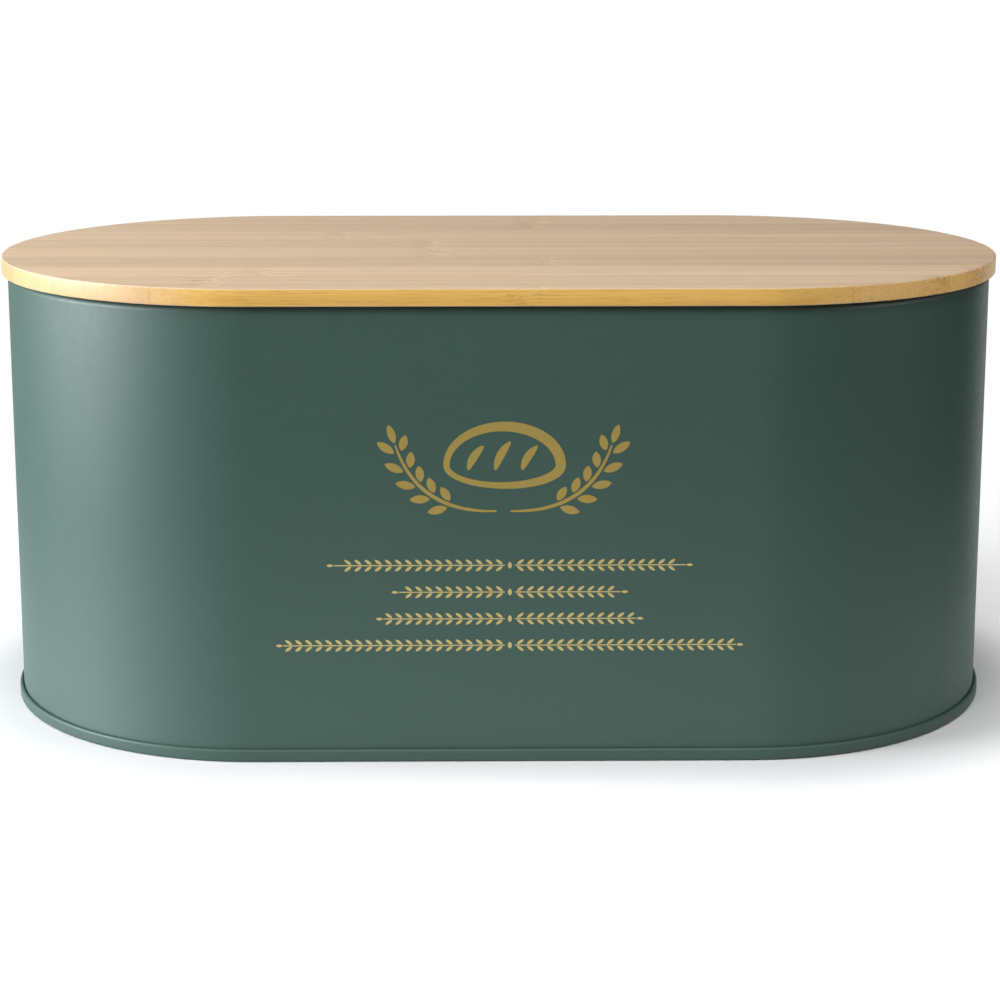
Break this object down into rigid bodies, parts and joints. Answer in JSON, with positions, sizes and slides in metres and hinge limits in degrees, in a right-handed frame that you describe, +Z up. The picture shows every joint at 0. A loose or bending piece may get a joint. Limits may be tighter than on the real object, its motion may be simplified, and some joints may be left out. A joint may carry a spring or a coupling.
{
  "type": "bread bin",
  "caption": "Oval sheet-steel bread bin with a flat bamboo lid that lifts straight off, a silicone seal under the lid and a beaded seam round the base.",
  "frame": {"origin": "middle of the footprint, at the height of the surface that the bin stands on", "axes": "+X along the bin's length, +Y from the front to the back, +Z up; the front faces -Y"},
  "size_m": [0.34, 0.18, 0.154],
  "materials": {
    "bin_paint": "satin deep green powder coat on sheet steel",
    "bamboo": "satin clear lacquer on laminated bamboo strips",
    "silicone": "matt translucent white silicone"
  },
  "bodies": {
    "bin": {"side_wall": "bin_paint", "base_panel": "bin_paint"},
    "lid": {"lid_board": "bamboo", "lid_plug": "bamboo", "lid_seal": "silicone"}
  },
  "joints": [
    {"name": "lid_lift", "type": "slide", "parent": "bin", "child": "lid", "axis": [0, 0, 1], "range_m": [0, 0.2]}
  ]
}
